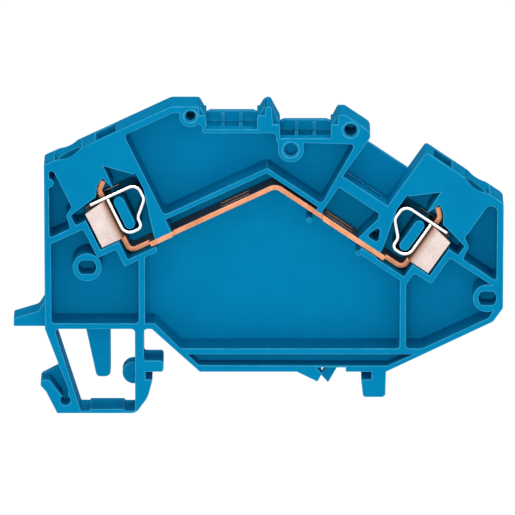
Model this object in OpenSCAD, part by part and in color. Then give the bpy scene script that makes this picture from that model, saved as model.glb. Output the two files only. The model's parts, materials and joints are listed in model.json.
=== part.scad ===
// Feed-through terminal block for a mounting rail, in millimetres.
// X runs across the rail, Y along it with the open side at -Y, and Z up.
// The origin is on the rail's top plane, at the middle of the rail and of the block's thickness.

/* [Rail] */
// Width of the mounting rail that the foot clips onto
rail_w = 35; // [34:0.25:36]
// Thickness of the rail's lips
rail_lip_t = 1; // [0.8:0.1:1.3]
// Play between the rail's lips and the foot
rail_play = 0.12; // [0.05:0.01:0.25]

/* [Housing] */
// Thickness of the block along the rail
block_t = 6; // [5.5:0.25:8]
// Thickness of the wall that closes the back
back_wall = 0.6; // [0.4:0.05:0.9]
// Thickness of the outer walls
wall = 1.05; // [0.85:0.05:1.2]
// Thickness of the ribs
rib = 1; // [0.8:0.05:1.1]
// Distance from the rail's middle to the outer face of the left wall
left_reach = 33.3; // [33:0.1:35]
// Distance from the rail's middle to the outer face of the right wall
right_reach = 38.1; // [37.5:0.1:40]
// Height of the left shoulder above the rail
left_top_z = 43.1; // [42.5:0.1:44]
// Height of the right shoulder above the rail
right_top_z = 41.8; // [41.2:0.1:42.5]
// Height of the left bottom edge above the rail
left_base_z = 7.1; // [6.8:0.1:7.5]
// Height at which the right wall turns into the slanted bottom
right_base_z = 10.5; // [10:0.1:11]
// Slope of the right bottom edge
bottom_slope = 25.6; // [24:0.2:27]
// Depth of the flat recess along the bottom edge
bottom_recess = 2.9; // [2:0.1:3.5]

/* [Clamps] */
// Place of the left clamp across the rail
left_clamp_x = -23.57; // [-24:0.01:-23]
// Height of the left clamp above the rail
left_clamp_z = 28.34; // [28:0.01:28.7]
// Tilt of the left wire entry from upright
left_tilt = 25.5; // [24.5:0.5:26.5]
// Place of the right clamp across the rail
right_clamp_x = 26.96; // [26.5:0.01:27.5]
// Height of the right clamp above the rail
right_clamp_z = 24.21; // [23.9:0.01:24.5]
// Tilt of the right wire entry from upright
right_tilt = 34.5; // [33.5:0.5:35.5]
// Height of a tower's top face above its clamp
tower_rise = 9; // [8.5:0.1:9.5]
// Diameter of the wire entry's bore
entry_d = 3.9; // [3.4:0.1:4.2]
// Diameter of the wire entry's mouth
mouth_d = 7; // [6.4:0.1:7.2]
// Width of the flare across the wire entry
flare_w = 4.6; // [4.2:0.1:5]
// Depth of the flare at the wire entry's mouth
flare_depth = 0.8; // [0.5:0.05:1.2]
// Diameter of the wire entry at the end of the flare
throat_d = 4.7; // [4.3:0.1:5]
// Depth of the whole funnel of the wire entry
funnel_depth = 3.4; // [2.5:0.1:4]
// Depth of the wire entry's bore, where the wire's sheath stops
entry_depth = 6.1; // [5.6:0.1:6.3]
// Diameter of the hole for the bare wire under the bore
bare_wire_d = 2.4; // [2:0.1:2.5]
// Distance of the wire entry from the fixed arm of the spring
entry_offset = 2.35; // [2.2:0.05:2.5]
// Width of the screwdriver slot
driver_w = 3.4; // [3:0.1:3.6]
// Thickness of the screwdriver slot
driver_t = 4.4; // [3:0.1:4.4]

/* [Springs] */
// Thickness of the spring strip
strip_t = 0.45; // [0.35:0.01:0.5]
// Length of the fixed arm, down to the middle of the lower bend
fixed_arm = 5.3; // [5:0.05:5.6]
// Radius of the lower bend at the middle of the strip
lower_bend_r = 1.45; // [1.35:0.05:1.5]
// Radius of the upper bend at the middle of the strip
upper_bend_r = 1.65; // [1.5:0.05:1.8]
// Reach of the upper arm past the fixed arm, over the wire entry
arm_reach = 2.9; // [2.7:0.05:3.1]
// Width of the rails beside the window in the upper arm
window_rail = 0.75; // [0.5:0.05:0.9]
// Travel of the upper arm when the clamp is opened
spring_travel = 2.2; // [1.8:0.1:2.4]

/* [Current bar] */
// Thickness of the copper strip
bar_t = 0.8; // [0.6:0.05:0.9]
// Depth of the left slope's top below the left clamp
left_bar_u = 9.35; // [9.2:0.05:9.6]
// Depth of the right slope's top below the right clamp
right_bar_u = 8.5; // [8.3:0.05:8.7]
// Reach of the folded wings from the spring's fixed arm
wing_reach = 4.2; // [4:0.05:4.3]
// Length of the folded wings
wing_len = 6.7; // [6.3:0.1:6.9]
// Inset of the bar's narrow necks from its front edge
neck_inset = 1.5; // [1:0.1:1.8]
// Length of the slots for the plug-in contacts
contact_len = 4.8; // [4:0.1:5]
// Width of the slots for the plug-in contacts
contact_w = 0.7; // [0.5:0.05:0.8]

/* [Marker slots] */
// Width of a marker slot
marker_w = 7.85; // [7.5:0.05:8]
// Depth of a marker slot
marker_depth = 2.25; // [2:0.05:2.5]
// Left edge of the left marker slot
left_marker_x = -8.07; // [-8.3:0.01:-7.9]
// Floor of the left marker slot
left_marker_z = 39.45; // [39.2:0.05:39.7]
// Left edge of the right marker slot
right_marker_x = 3.35; // [3.2:0.01:3.5]
// Floor of the right marker slot
right_marker_z = 38; // [37.8:0.05:38.2]
// Depth of the ledge in front of the marker pockets
marker_ledge = 2.1; // [1.8:0.1:2.4]
// Thickness of the combs between the marker pockets
comb_t = 0.5; // [0.35:0.05:0.6]

/* [Jumper slot] */
// Width of the jumper slot between its two walls
jumper_w = 8.45; // [8.2:0.05:8.6]
// Depth of the jumper slot's floor below the right clamp
jumper_floor = 1.54; // [1.3:0.02:1.8]
// Thickness of the jumper slot's floor
jumper_floor_t = 1.8; // [1.5:0.1:2]

/* [Sockets] */
// Diameter of the locating socket in the left shoulder
left_socket_d = 1.5; // [1.2:0.1:1.8]
// Diameter of the locating socket in the right shoulder
right_socket_d = 1.9; // [1.6:0.1:2.2]
// Diameter of the locating socket in the middle
middle_socket_d = 2; // [1.7:0.1:2.4]
// Depth of the locating sockets in the shoulders
socket_depth = 5; // [3.5:0.1:5.2]
// Depth of the locating socket in the middle, which ends under the marker slot's ledge
middle_socket_depth = 1.7; // [1.2:0.1:1.7]
// Chamfer at the mouth of the locating sockets
socket_chamfer = 0.3; // [0.15:0.05:0.35]
// Diameter of the two flat-sided sockets in the lower corners
flat_socket_d = 2.8; // [2.4:0.1:3.2]
// Distance across the flats of those sockets
flat_socket_af = 2.2; // [1.8:0.1:2.4]
// Depth of those sockets
flat_socket_depth = 3.4; // [2.5:0.1:4]
// Thickness of the wall around a socket
socket_wall = 0.7; // [0.5:0.05:0.8]

/* [Foot] */
// Depth of the latch foot below the rail's top
foot_drop = 6.65; // [6.4:0.05:7]
// Thickness of the upright leg beside the rail
leg_t = 1.4; // [1.2:0.05:1.6]
// Height of the jaw that lies on the rail
jaw_h = 1.85; // [1.6:0.05:2.1]
// Reach of the jaw over the rail
jaw_reach = 2.8; // [2.4:0.1:3.2]
// Reach of the latch hook under the rail
hook_reach = 1.1; // [0.8:0.05:1.3]
// Reach of the fixed hook under the rail
fixed_hook_reach = 1.6; // [1.2:0.05:1.8]
// Depth of the fixed hook below the rail's top
fixed_hook_drop = 4; // [3.6:0.1:4.4]
// Width of the release finger along the rail
finger_w = 4.6; // [4:0.1:5.2]
// Width of the nose tab along the rail
nose_w = 4.4; // [3.6:0.1:5]
// Reach of the nose tab past the left wall
nose_reach = 4.9; // [4:0.1:5.2]

/* [Hidden] */

blue = [0.04, 0.50, 0.72];
copper = [0.90, 0.62, 0.47];
steel = [0.82, 0.83, 0.85];

// Play around the metal pieces, and the overshoot of a cut past the surface that it opens
fit = 0.06;
cut = 0.5;
arc_steps = 7;

// Depths along Y: front plane, back plane, floor of the cavities, and the metal's two edges
front_y = -block_t / 2;
back_y = block_t / 2;
floor_y = back_y - back_wall;
metal_back_gap = 0.15;
metal_front_gap = 0.4;
metal_back_y = floor_y - metal_back_gap;
metal_front_y = front_y + metal_front_gap;
metal_y = (metal_front_y + metal_back_y) / 2;

left_x = -left_reach;
right_x = right_reach;

// Sides of the block: the left clamp, and the right one, which is mirrored
LEFT = 0;
RIGHT = 1;
function clamp_at(side) =
    side == LEFT ? [left_clamp_x, left_clamp_z] : [right_clamp_x, right_clamp_z];
function tilt(side) = side == LEFT ? left_tilt : right_tilt;
function sign_of(side) = side == LEFT ? 1 : -1;

// Directions of a clamp: down along the wire entry, and across it from the wire towards the spring
function down(side) = [sign_of(side) * sin(tilt(side)), -cos(tilt(side))];
function across(side) = [sign_of(side) * cos(tilt(side)), sin(tilt(side))];
// The point that lies u down and v across from a clamp
function at(side, u, v) = clamp_at(side) + u * down(side) + v * across(side);
// The distance across at which the line u meets the upright line x
function v_at_x(side, u, x) =
    (x - clamp_at(side).x - u * down(side).x) / across(side).x;
// The distance across at which the line u meets the level line z
function v_at_z(side, u, z) =
    (z - clamp_at(side).y - u * down(side).y) / across(side).y;
// The point where the left clamp's line u meets the right clamp's line w
function ridge(u, w) =
    let (
        p = at(LEFT, u, 0),
        q = at(RIGHT, w, 0),
        d = across(LEFT),
        e = across(RIGHT),
        s = ((q.x - p.x) * e.y - (q.y - p.y) * e.x) / (d.x * e.y - d.y * e.x)
    )
    p + s * d;

// Radii of the outlines' corners, from a faint rounding to a clear one
fine_r = 0.2;
edge_r = 0.3;
inner_r = 0.4;
corner_r = 0.5;

// Rounded outlines: each corner is [x, y, radius], and the radius is limited by the corner's sides
function flat(p) = [p.x, p.y];
function with_r(p, r) = [p.x, p.y, r];
function radius_of(p) = len(p) > 2 ? p[2] : 0;
function unit(v) = v / norm(v);
function corner_arc(a, p, b) =
    let (
        to_a = unit(flat(a) - flat(p)),
        to_b = unit(flat(b) - flat(p)),
        half = acos(max(-1, min(1, to_a * to_b))) / 2,
        side = min(norm(flat(a) - flat(p)), norm(flat(b) - flat(p))),
        reach = min(radius_of(p) / tan(half), 0.49 * side),
        r = reach * tan(half),
        centre = flat(p) + unit(to_a + to_b) * r / sin(half),
        start = flat(p) + to_a * reach - centre,
        end = flat(p) + to_b * reach - centre,
        from = atan2(start.y, start.x),
        turn = (atan2(end.y, end.x) - from + 540) % 360 - 180
    )
    radius_of(p) == 0 || half > 89.5
        ? [flat(p)]
        : [for (i = [0:arc_steps])
            centre + r * [cos(from + turn * i / arc_steps), sin(from + turn * i / arc_steps)]];
function rounded(corners) =
    let (n = len(corners))
    [for (i = [0:n - 1]) each corner_arc(corners[(i + n - 1) % n], corners[i], corners[(i + 1) % n])];
function rounded_path(corners) =
    let (n = len(corners))
    [
        flat(corners[0]),
        for (i = [1:n - 2]) each corner_arc(corners[i - 1], corners[i], corners[i + 1]),
        flat(corners[n - 1]),
    ];

// The outline of a strip of thickness t whose middle follows a path
function path_normal(path, i) =
    let (
        n = len(path) - 1,
        before = unit(path[max(i, 1)] - path[max(i, 1) - 1]),
        after = unit(path[min(i, n - 1) + 1] - path[min(i, n - 1)]),
        along = unit(before + after),
        stretch = 1 / max(0.5, along * before)
    )
    stretch * [-along.y, along.x];
function strip(path, t) =
    let (n = len(path) - 1)
    [
        for (i = [0:n]) path[i] + path_normal(path, i) * t / 2,
        for (i = [n:-1:0]) path[i] - path_normal(path, i) * t / 2,
    ];

// A flat outline in X and Z, given its thickness between two depths
module slab(y0, y1) {
    translate([0, y1, 0])
        rotate([90, 0, 0])
            linear_extrude(y1 - y0)
                children();
}
// A round bar along Y
module pin(centre, r, y0, y1) {
    translate([centre.x, y1, centre.y])
        rotate([90, 0, 0])
            cylinder(h = y1 - y0, r = r, $fn = 48);
}
// Puts what is drawn in a clamp's own frame, with u along X and v along Z, in its place
module in_clamp(side) {
    translate([clamp_at(side).x, 0, clamp_at(side).y])
        mirror([side, 0, 0])
            rotate([0, 90 - tilt(side), 0])
                children();
}

// Spring strip, in the clamp's own frame
lower_u = fixed_arm + lower_bend_r;
limb_v = 2 * lower_bend_r;
crest_run = 3.5;
crest_v = crest_run + upper_bend_r;
limb_bend_u = 2.75;
limb_r = 1.3;
arm_gap = 0.08;
fixed_arm_top = strip_t / 2 + arm_gap;
spring_path = rounded_path([
    [0, -arm_reach],
    [0, crest_v, upper_bend_r],
    [limb_bend_u, crest_v, limb_r],
    [limb_bend_u + crest_v - limb_v, limb_v, limb_r],
    [lower_u, limb_v, lower_bend_r],
    [lower_u, 0, lower_bend_r],
    [fixed_arm_top, 0],
]);

// Bar strip: hook, upright arm and slope at each end, and the ridge between the slopes
arm_v = -strip_t / 2 - fit - bar_t / 2;
hook_u = -1.3;
hook_reach_u = 1.1;
hook_reach_v = 1.25;
bar_bend_r = 1;
ridge_r = 1.6;
function bar_u(side) = (side == LEFT ? left_bar_u : right_bar_u) + bar_t / 2;
function hook_corners(side) = [
    at(side, hook_u - hook_reach_u, arm_v + hook_reach_v),
    with_r(at(side, hook_u, arm_v), bar_bend_r),
    with_r(at(side, bar_u(side), arm_v), bar_bend_r),
];
bar_ridge = ridge(bar_u(LEFT), bar_u(RIGHT));
bar_path = rounded_path([
    each hook_corners(LEFT),
    with_r(bar_ridge, ridge_r),
    for (i = [2:-1:0]) hook_corners(RIGHT)[i],
]);
neck_end = 2.8;
step_inset = 0.5;
left_step_v = 6.7;
right_step_v = 14.5;
left_contact_v = 17.6;
right_contact_v = 11.6;
function step_end(side) = side == LEFT ? left_step_v : right_step_v;
function contact_v(side) = side == LEFT ? left_contact_v : right_contact_v;
contact_pitch = 1.7;
tongue_gap = 0.2;
fold_inner_r = 0.1;
fold_r = bar_t / 2 + fold_inner_r;
wing_slant = 0.65;

// Outlines of the housing that several features share
entry_v = -entry_offset;
spring_room = 0.4;
tower_wall = 1.05;
wing_room = 0.3;
wing_end_gap = 0.1;
tip_room = 0.95;
tip_slot_w = 1.55;
shelf_room = 0.25;
spring_side_v = crest_v + strip_t / 2 + spring_room;
tower_v = spring_side_v + tower_wall;
wing_v = -wing_reach - wing_room;
slot_end_v = -arm_reach - strip_t / 2 - spring_travel - tip_room;
wing_top_u = strip_t / 2 + wing_end_gap;
wing_base_u = wing_top_u + wing_len + wing_end_gap;
slot_u = wing_top_u + tip_slot_w;
shelf_v = arm_v - bar_t / 2 - shelf_room;
function shelf_u(side) = bar_u(side) + bar_t / 2 + fit;
left_shelf_v = 3.5;
right_shelf_v = 6.8;
function shelf_end(side) = side == LEFT ? left_shelf_v : right_shelf_v;
// Room under the bar at its lower bend
corner_gap = 0.15;

// Outline of the housing above the rail, before its slots and feet are made
bottom_z = rail_play;
right_corner = 2.2;
belly_left = -9.15;
belly_slope_top = [-16.65, left_base_z];
fixed_foot_t = 2.3;
fixed_foot_x = rail_w / 2 + rail_play + fixed_foot_t;
step_w = 1.1;
post_w = 1.25;
post_taper = 0.2;
post_head_r = 0.6;
post_top_z = left_top_z;
left_step_z = left_marker_z + marker_depth;
right_step_z = right_marker_z + marker_depth;
jumper_wall = 0.5;
jumper_v = tower_v + jumper_wall;
jumper_left_v = jumper_v + jumper_w;
shoulder_u = -6.8;
post_x = right_marker_x - step_w - post_w;

module body_outline() {
    polygon(rounded([
        [left_x, left_base_z],
        with_r(at(LEFT, -tower_rise, v_at_x(LEFT, -tower_rise, left_x)), corner_r),
        with_r(at(LEFT, -tower_rise, v_at_z(LEFT, -tower_rise, left_top_z)), 1.5),
        [left_marker_x - step_w, left_top_z, edge_r],
        [left_marker_x - step_w, left_step_z],
        [left_marker_x, left_step_z, fine_r],
        [left_marker_x, left_marker_z],
        [left_marker_x + marker_w, left_marker_z],
        [left_marker_x + marker_w, left_step_z, fine_r],
        [post_x, left_step_z],
        [post_x, post_top_z, post_head_r],
        [post_x + post_w - post_taper, post_top_z, post_head_r],
        [post_x + post_w, right_step_z],
        [right_marker_x, right_step_z, fine_r],
        [right_marker_x, right_marker_z],
        [right_marker_x + marker_w, right_marker_z],
        [right_marker_x + marker_w, right_step_z, fine_r],
        [right_marker_x + marker_w + step_w, right_step_z],
        [right_marker_x + marker_w + step_w, right_top_z, edge_r],
        with_r(at(RIGHT, shoulder_u, v_at_z(RIGHT, shoulder_u, right_top_z)), 0.6),
        with_r(at(RIGHT, shoulder_u, jumper_left_v), 1.2),
        at(RIGHT, jumper_floor, jumper_left_v),
        at(RIGHT, jumper_floor, jumper_v),
        with_r(at(RIGHT, -tower_rise, jumper_v), corner_r),
        with_r(at(RIGHT, -tower_rise, v_at_x(RIGHT, -tower_rise, right_x)), 1),
        [right_x, right_base_z, 0.8],
        [right_x - right_corner * sin(bottom_slope) * 1.6, right_base_z - right_corner, 0.8],
        [fixed_foot_x, bottom_z],
        [belly_left, bottom_z, edge_r],
        with_r(belly_slope_top, corner_r),
    ]));
}

// Latch foot at the left: an upright leg with jaw and hook, a sloping leg and a release finger
jaw_x = -rail_w / 2 - rail_play;
jaw_lead = 0.25;
leg_x = jaw_x - jaw_lead;
leg_in_x = leg_x - leg_t;
hook_z = -rail_lip_t - rail_play;
foot_z = -foot_drop;
toe_x = left_x + 1.85;
foot_wall = 0.7;

module latch_foot_outline() {
    polygon(rounded([
        [left_x, left_base_z + wall],
        [left_x, left_base_z],
        [left_x + 3.6, -2.77],
        [left_x + 3.6, foot_z + 1.5],
        [left_x + 2.2, foot_z],
        [jaw_x - 1.5, foot_z, 1.5],
        [jaw_x + hook_reach - 0.75, hook_z - 2.9, 4],
        [jaw_x + hook_reach, hook_z],
        [jaw_x, hook_z],
        [jaw_x, bottom_z],
        [jaw_x + jaw_reach, bottom_z, corner_r],
        [jaw_x + jaw_reach, bottom_z + jaw_h, corner_r],
        [leg_x, bottom_z + jaw_h, inner_r],
        [leg_x, left_base_z, 0.8],
        belly_slope_top,
        [belly_slope_top.x, left_base_z + wall],
    ]));
}
module foot_window_outline() {
    polygon(rounded([
        [left_x + 1.45, left_base_z, 0.6],
        [left_x + 5.55, foot_z + 0.4, edge_r],
        [left_x + 6.9, foot_z + 0.4, fine_r],
        [left_x + 7, foot_z + foot_wall],
        [leg_in_x - 1.7, foot_z + foot_wall],
        [leg_in_x - 1.6, foot_z + 0.4, fine_r],
        [leg_in_x, foot_z + 0.4, edge_r],
        [leg_in_x, left_base_z, 0.6],
    ]));
}
// The tongue that hangs into the foot's window
tongue_x = left_x + 6.2;
tongue_w = 4;
tongue_slant = 1.8;
tongue_end_z = -1.55;
tongue_inset = 3;
module tongue_outline() {
    polygon(rounded([
        [tongue_x, left_base_z + wall / 2],
        [tongue_x, left_base_z],
        [tongue_x + tongue_slant, tongue_end_z, 0.7],
        [tongue_x + tongue_w, tongue_end_z, 0.9],
        [tongue_x + tongue_w, left_base_z + wall / 2],
    ]));
}
module finger_outline() {
    polygon(rounded([
        [toe_x, foot_z, inner_r],
        [left_x + 0.1, -3.1, 0.6],
        [left_x - 0.75, -2.1, corner_r],
        [left_x - 0.6, -1.15, corner_r],
        [left_x + 0.7, -1.2, inner_r],
        [left_x + 2.6, -3.8, 0],
        [left_x + 3.8, -4.2, 0],
        [left_x + 3.8, foot_z],
    ]));
}
// The web that joins the finger to the sloping leg, at the finger's back
finger_web_t = 1;
module finger_web_outline() {
    polygon([
        [left_x - 0.55, -1.25],
        [left_x + 2.6, 0.4],
        [left_x + 3.8, -2.9],
        [left_x + 3.8, foot_z + 1],
        [left_x + 2.2, foot_z + 1],
        [left_x + 0.3, -3.1],
    ]);
}
module nose_outline() {
    polygon(rounded([
        [left_x + wall, left_base_z],
        [left_x - nose_reach, left_base_z, fine_r],
        [left_x - nose_reach, left_base_z + 1.3, edge_r],
        [left_x - 1, left_base_z + 2.5, 1.2],
        [left_x, left_base_z + 4.1],
        [left_x + wall, left_base_z + 4.1],
    ]));
}

// Fixed hook at the right, and the small barbs between the feet
fixed_slot_x = rail_w / 2 + rail_play;
fixed_hook_slant = 0.3;
fixed_hook_end_r = 0.6;
module fixed_foot_outline() {
    polygon(rounded([
        [fixed_slot_x - 4, bottom_z],
        [fixed_slot_x, bottom_z],
        [fixed_slot_x, hook_z],
        [fixed_slot_x - fixed_hook_reach, hook_z, fine_r],
        [fixed_slot_x - fixed_hook_reach + fixed_hook_slant, -fixed_hook_drop, fixed_hook_end_r],
        [fixed_foot_x - 0.1, -fixed_hook_drop, fixed_hook_end_r],
        [fixed_foot_x, bottom_z + 1],
        [fixed_slot_x - 4, bottom_z + 1],
    ]));
}
barb_x = 6;
barb_notch_x = barb_x + 3.1;
barb_notch_z = bottom_z + 0.7;
back_barb_w = 2;
module front_barb_outline() {
    polygon([
        [barb_x, bottom_z + 0.4],
        [barb_x, bottom_z],
        [barb_x + 3.2, -1.5],
        [barb_x + 3.9, -0.2],
        [barb_notch_x, barb_notch_z - 0.1],
    ]);
}
module back_barb_outline() {
    polygon([
        [barb_x + 3.75, -1.55],
        [barb_x + 4.9, -2.85],
        [barb_x + 7, barb_notch_z + 0.1],
        [barb_x + 5.6, barb_notch_z + 0.1],
    ]);
}
// The notch behind the barbs, up to the fixed foot
module barb_notch_outline() {
    polygon([
        [barb_notch_x, bottom_z - cut],
        [barb_notch_x, barb_notch_z],
        [fixed_slot_x - 4, barb_notch_z],
        [fixed_slot_x - 4, bottom_z - cut],
    ]);
}

// Cavities of the open side
cavity_base_z = left_base_z + wall - 0.1;
centre_base_z = 3.96;
left_rib_x = -18.65;
right_rib_x = 22;
roof_t = 0.65;
chevron_t = 0.78;
left_chevron_u = 6.3;
right_chevron_u = 7.05;
function chevron_u(side) = side == LEFT ? left_chevron_u : right_chevron_u;

// Behind the outer wall of a tower, beside the wire entry
tower_cap = 1.2;
side_wall_v = -5.55;
side_base_u = slot_u + 0.1;
left_side_wall = 0.8;
function side_wall_x(side) = side == LEFT ? left_x + left_side_wall : right_x - wall;
module side_cavity(side) {
    top_u = tower_cap - tower_rise;
    polygon(rounded([
        with_r(at(side, top_u, v_at_x(side, top_u, side_wall_x(side))), 0.8),
        with_r(at(side, top_u + 0.4, side_wall_v), 0.8),
        with_r(at(side, -1, side_wall_v), edge_r),
        with_r(at(side, -0.2, slot_end_v - 0.6), edge_r),
        with_r(at(side, side_base_u, slot_end_v - 1), edge_r),
        with_r(at(side, side_base_u, v_at_x(side, side_base_u, side_wall_x(side))), edge_r),
    ]));
}
// Turns an outline in a clamp's u and v into X and Z
module in_clamp_outline(side) {
    translate(clamp_at(side))
        mirror([side, 0])
            rotate(tilt(side) - 90)
                children();
}
// The lower edge of the walls around a wing pocket, from the outer wall to the shelf under the bar
function inner_wall_x(side) = side == LEFT ? left_x + wall : right_x - wall;
underside_u = slot_u + rib + 0.1;
function pocket_underside(side) = [
    at(side, underside_u, v_at_x(side, underside_u, inner_wall_x(side))),
    with_r(at(side, underside_u, wing_v - rib), inner_r),
    with_r(at(side, wing_base_u + rib, wing_v - rib), edge_r),
    with_r(at(side, wing_base_u + rib, shelf_v - rib), inner_r),
    at(side, shelf_u(side) + rib, shelf_v - rib),
];
module lower_left_cavity() {
    polygon(rounded([
        [left_x + wall, cavity_base_z, corner_r],
        each pocket_underside(LEFT),
        at(LEFT, shelf_u(LEFT) + rib, v_at_x(LEFT, shelf_u(LEFT) + rib, left_rib_x)),
        [left_rib_x, cavity_base_z, corner_r],
    ]));
}
module lower_right_cavity() {
    base_in = wall / cos(bottom_slope);
    slope_x = fixed_foot_x + (centre_base_z - bottom_z - base_in) / tan(bottom_slope);
    bend_x = right_x - wall - 1.2;
    polygon(rounded([
        each pocket_underside(RIGHT),
        at(RIGHT, shelf_u(RIGHT) + rib, v_at_x(RIGHT, shelf_u(RIGHT) + rib, right_rib_x + rib)),
        [right_rib_x + rib, centre_base_z, corner_r],
        [slope_x, centre_base_z, corner_r],
        [bend_x, centre_base_z + (bend_x - slope_x) * tan(bottom_slope), corner_r],
        [right_x - wall, right_base_z + 0.4, corner_r],
    ]));
}
module centre_cavity() {
    polygon(rounded([
        [left_rib_x + rib, cavity_base_z],
        at(LEFT, shelf_u(LEFT) + rib, v_at_x(LEFT, shelf_u(LEFT) + rib, left_rib_x + rib)),
        with_r(at(LEFT, shelf_u(LEFT) + rib, shelf_end(LEFT)), edge_r),
        at(LEFT, shelf_u(LEFT) - fit, shelf_end(LEFT)),
        ridge(shelf_u(LEFT) - fit, shelf_u(RIGHT) - fit),
        at(RIGHT, shelf_u(RIGHT) - fit, shelf_end(RIGHT)),
        with_r(at(RIGHT, shelf_u(RIGHT) + rib, shelf_end(RIGHT)), edge_r),
        at(RIGHT, shelf_u(RIGHT) + rib, v_at_x(RIGHT, shelf_u(RIGHT) + rib, right_rib_x)),
        [right_rib_x, centre_base_z, inner_r],
        [belly_left - 3, centre_base_z, inner_r],
        [belly_slope_top.x + 0.5, cavity_base_z, inner_r],
    ]));
}
shoulder_roof_u = -3.8;
module upper_cavity() {
    shoulder_z = left_top_z - wall;
    post_wall_x = middle_socket.x - boss_r(middle_socket_d) - 0.3;
    polygon(rounded([
        with_r(at(LEFT, chevron_u(LEFT), tower_v), 0.7),
        with_r(at(LEFT, -tower_rise + wall, tower_v), 0.7),
        with_r(at(LEFT, -tower_rise + wall, v_at_z(LEFT, -tower_rise + wall, shoulder_z)), 1),
        [left_socket.x, shoulder_z],
        [left_socket.x, left_socket.y],
        [left_marker_x - roof_t, left_socket.y - boss_r(left_socket_d), edge_r],
        [left_marker_x - roof_t, left_marker_z - roof_t, edge_r],
        [post_wall_x, left_marker_z - roof_t, corner_r],
        [post_wall_x, right_marker_z - roof_t, edge_r],
        with_r(at(RIGHT, shoulder_roof_u, jumper_left_v + 1.3), corner_r),
        with_r(at(RIGHT, chevron_u(RIGHT), jumper_left_v + 0.2), corner_r),
        ridge(chevron_u(LEFT), chevron_u(RIGHT)),
    ]));
}
// The gap between the chevron rib and the bar
module bar_gap() {
    end_v = jumper_left_v + 0.3;
    polygon([
        at(LEFT, bar_u(LEFT), tower_v - 0.1),
        at(LEFT, chevron_u(LEFT) + chevron_t, tower_v - 0.1),
        ridge(chevron_u(LEFT) + chevron_t, chevron_u(RIGHT) + chevron_t),
        at(RIGHT, chevron_u(RIGHT) + chevron_t, end_v),
        at(RIGHT, bar_u(RIGHT), end_v),
        bar_ridge,
    ]);
}
// Under the jumper slot
module jumper_cavity() {
    in_clamp_outline(RIGHT)
        polygon(rounded([
            [jumper_floor + jumper_floor_t, jumper_v + 0.4, inner_r],
            [jumper_floor + jumper_floor_t, jumper_left_v - 0.5, edge_r],
            [bar_u(RIGHT), jumper_left_v - 0.65],
            [bar_u(RIGHT), jumper_v + 0.9],
            [jumper_floor + jumper_floor_t + 0.7, jumper_v, inner_r],
        ]));
}
// The small three-sided hollow beside the right clamp
lightening_corners = [[7.4, 7.2], [4.7, 6.45], [7.3, 5.1]];
module tower_lightening() {
    in_clamp_outline(RIGHT)
        polygon(rounded([for (p = lightening_corners) with_r(p, inner_r)]));
}

// The pocket of a clamp: slot for the arm's tip, wing pocket, bar corner and the room around the spring
tip_roof = [-0.45, -3.65];
hook_roof = [-0.85, -1.5];
nib_end = [-0.95, 1.6];
driver_corner = [-4.9, 1.8];
spring_roof_u = -1.65;
module clamp_pocket(side) {
    end_u = bar_u(side) - bar_t / 2;
    in_clamp_outline(side)
        polygon(rounded([
            [wing_top_u - corner_gap, slot_end_v, fine_r],
            tip_roof,
            hook_roof,
            [hook_u - hook_reach_u, arm_v + 0.2],
            [hook_u - hook_reach_u - 0.75, arm_v + hook_reach_v + 0.17],
            nib_end,
            driver_corner,
            [spring_roof_u, spring_side_v - 0.35],
            [spring_roof_u, spring_side_v],
            [1.2, spring_side_v],
            [end_u - 1, limb_v + 1.1],
            [end_u, limb_v + 1],
            [shelf_u(side) + corner_gap, limb_v + 1],
            [shelf_u(side) + corner_gap, shelf_v, 0.1],
            [wing_base_u, shelf_v],
            [wing_base_u, wing_v, 0.1],
            [slot_u, wing_v],
            [slot_u, slot_end_v, fine_r],
        ]));
}
// The post that holds the spring's loop
module spring_post(side) {
    post_r = lower_bend_r - strip_t / 2 - spring_room;
    post_u = post_r + 0.6;
    in_clamp(side)
        for (u = [post_u, fixed_arm])
            translate([u, floor_y + back_wall / 2, lower_bend_r])
                rotate([90, 0, 0])
                    cylinder(h = floor_y + back_wall / 2 - front_y, r = post_r, $fn = 48);
    in_clamp(side)
        slab(front_y, floor_y + back_wall / 2)
            translate([post_u, lower_bend_r - post_r])
                square([fixed_arm - post_u, 2 * post_r]);
}
// Wire entry: a short wide flare, a funnel, a straight bore and a smaller hole down to the clamp
module wire_entry(side) {
    in_clamp(side)
        translate([-tower_rise, metal_y, entry_v])
            rotate([0, 90, 0]) {
                cylinder(h = tower_rise, d = bare_wire_d, $fn = 48);
                cylinder(h = entry_depth, d = entry_d, $fn = 48);
                cylinder(h = funnel_depth, d1 = throat_d, d2 = entry_d, $fn = 48);
                intersection() {
                    union() {
                        cylinder(h = flare_depth, d1 = mouth_d, d2 = throat_d, $fn = 48);
                        translate([0, 0, -cut])
                            cylinder(h = cut, d = mouth_d, $fn = 48);
                    }
                    translate([-flare_w / 2, -mouth_d, -2 * cut])
                        cube([flare_w, 2 * mouth_d, flare_depth + 4 * cut]);
                }
            }
}
// Slot for a screwdriver's blade, which opens the clamp
driver_stop = 1;
driver_wall = 0.9;
module driver_slot(side) {
    in_clamp(side)
        translate([-tower_rise - cut, front_y + driver_wall, spring_side_v - driver_w])
            cube([tower_rise + cut - driver_stop, driver_t, driver_w]);
}

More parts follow.
